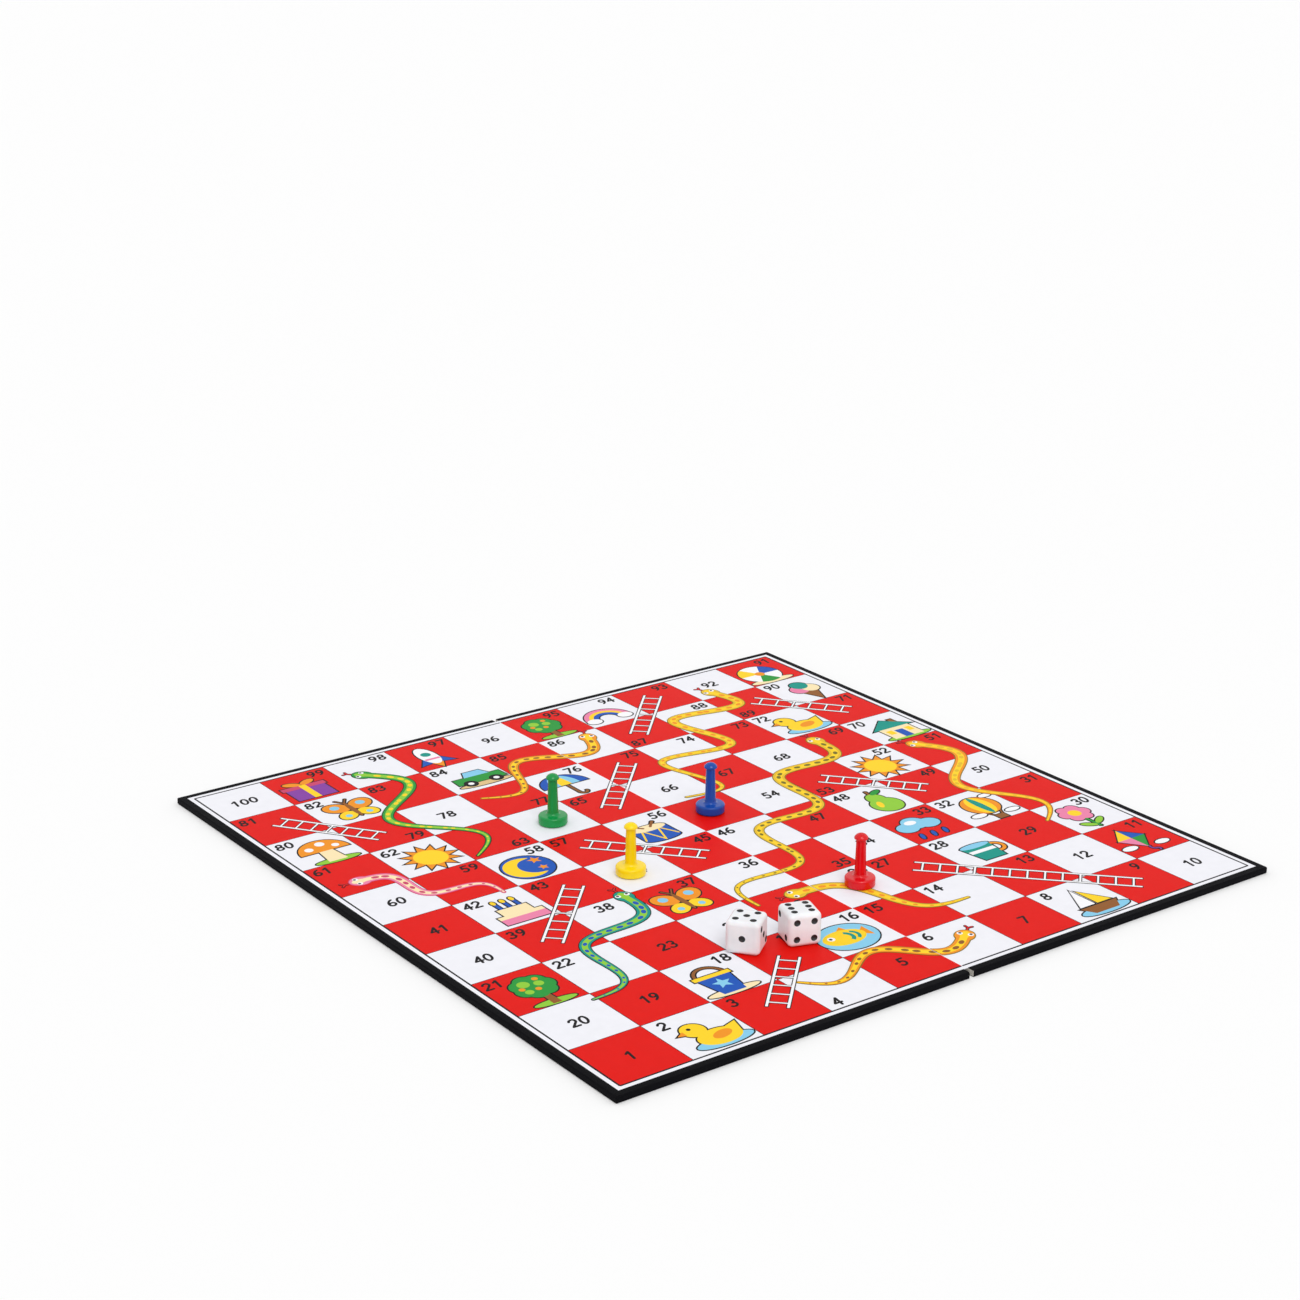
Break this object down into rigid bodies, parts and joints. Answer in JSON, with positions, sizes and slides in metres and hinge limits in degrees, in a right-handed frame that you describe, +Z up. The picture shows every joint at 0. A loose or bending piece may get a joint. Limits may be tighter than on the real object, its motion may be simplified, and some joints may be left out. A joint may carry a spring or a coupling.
{
  "type": "snakes and ladders board",
  "caption": "Square folding game board with a red and white numbered grid, snakes and ladders, standing pawns and dice; the board folds shut on its middle crease.",
  "frame": {"origin": "middle of the open board, on its underside", "axes": "+Z up off the printed face, Y along the fold, X across it, with square 1 at the corner at -X -Y"},
  "size_m": [0.29, 0.29, 0.0226],
  "materials": {
    "greyboard": "matte grey board",
    "wrap_paper": "embossed black paper",
    "print_paper": "satin coated paper",
    "red_ink": "satin printed red",
    "ladder_ink": "satin printed white with dark outlines",
    "snake_ink": "satin printed colours",
    "green_plastic": "glossy moulded",
    "blue_plastic": "glossy moulded",
    "yellow_plastic": "glossy moulded",
    "red_plastic": "glossy moulded",
    "die_plastic": "glossy moulded",
    "pip_paint": "matte paint"
  },
  "bodies": {
    "left_half": {"greyboard_left": "greyboard", "wrap_left": "wrap_paper", "print_left": "print_paper", "fold_crease": "print_paper", "red_squares_left": "red_ink", "ladders_left": "ladder_ink", "snakes_left": "snake_ink"},
    "right_half": {"greyboard_right": "greyboard", "wrap_right": "wrap_paper", "print_right": "print_paper", "red_squares_right": "red_ink", "ladders_right": "ladder_ink", "snakes_right": "snake_ink"},
    "green_pawn_piece": {"green_pawn": "green_plastic"},
    "blue_pawn_piece": {"blue_pawn": "blue_plastic"},
    "yellow_pawn_piece": {"yellow_pawn": "yellow_plastic"},
    "red_pawn_piece": {"red_pawn": "red_plastic"},
    "left_die_piece": {"left_die": "die_plastic", "left_die_pips": "pip_paint"},
    "right_die_piece": {"right_die": "die_plastic", "right_die_pips": "pip_paint"}
  },
  "joints": [
    {"name": "board_fold", "type": "hinge", "parent": "left_half", "child": "right_half", "pos_m": [0, 0, 0.00265], "axis": [0, -1, 0], "range_deg": [0, 180]},
    {"name": "green_pawn_lift", "type": "slide", "parent": "left_half", "child": "green_pawn_piece", "axis": [0, 0, 1], "range_m": [0, 0.35]},
    {"name": "blue_pawn_lift", "type": "slide", "parent": "left_half", "child": "blue_pawn_piece", "axis": [0, 0, 1], "range_m": [0, 0.35]},
    {"name": "yellow_pawn_lift", "type": "slide", "parent": "left_half", "child": "yellow_pawn_piece", "axis": [0, 0, 1], "range_m": [0, 0.35]},
    {"name": "red_pawn_lift", "type": "slide", "parent": "left_half", "child": "red_pawn_piece", "axis": [0, 0, 1], "range_m": [0, 0.35]},
    {"name": "left_die_lift", "type": "slide", "parent": "left_half", "child": "left_die_piece", "axis": [0, 0, 1], "range_m": [0, 0.35]},
    {"name": "right_die_lift", "type": "slide", "parent": "left_half", "child": "right_die_piece", "axis": [0, 0, 1], "range_m": [0, 0.35]}
  ],
  "couplings": [
    {"joint": "green_pawn_lift", "follows": "board_fold", "m_per_rad": 0.11},
    {"joint": "blue_pawn_lift", "follows": "board_fold", "m_per_rad": 0.11},
    {"joint": "yellow_pawn_lift", "follows": "board_fold", "m_per_rad": 0.11},
    {"joint": "red_pawn_lift", "follows": "board_fold", "m_per_rad": 0.11},
    {"joint": "left_die_lift", "follows": "board_fold", "m_per_rad": 0.11},
    {"joint": "right_die_lift", "follows": "board_fold", "m_per_rad": 0.11}
  ]
}
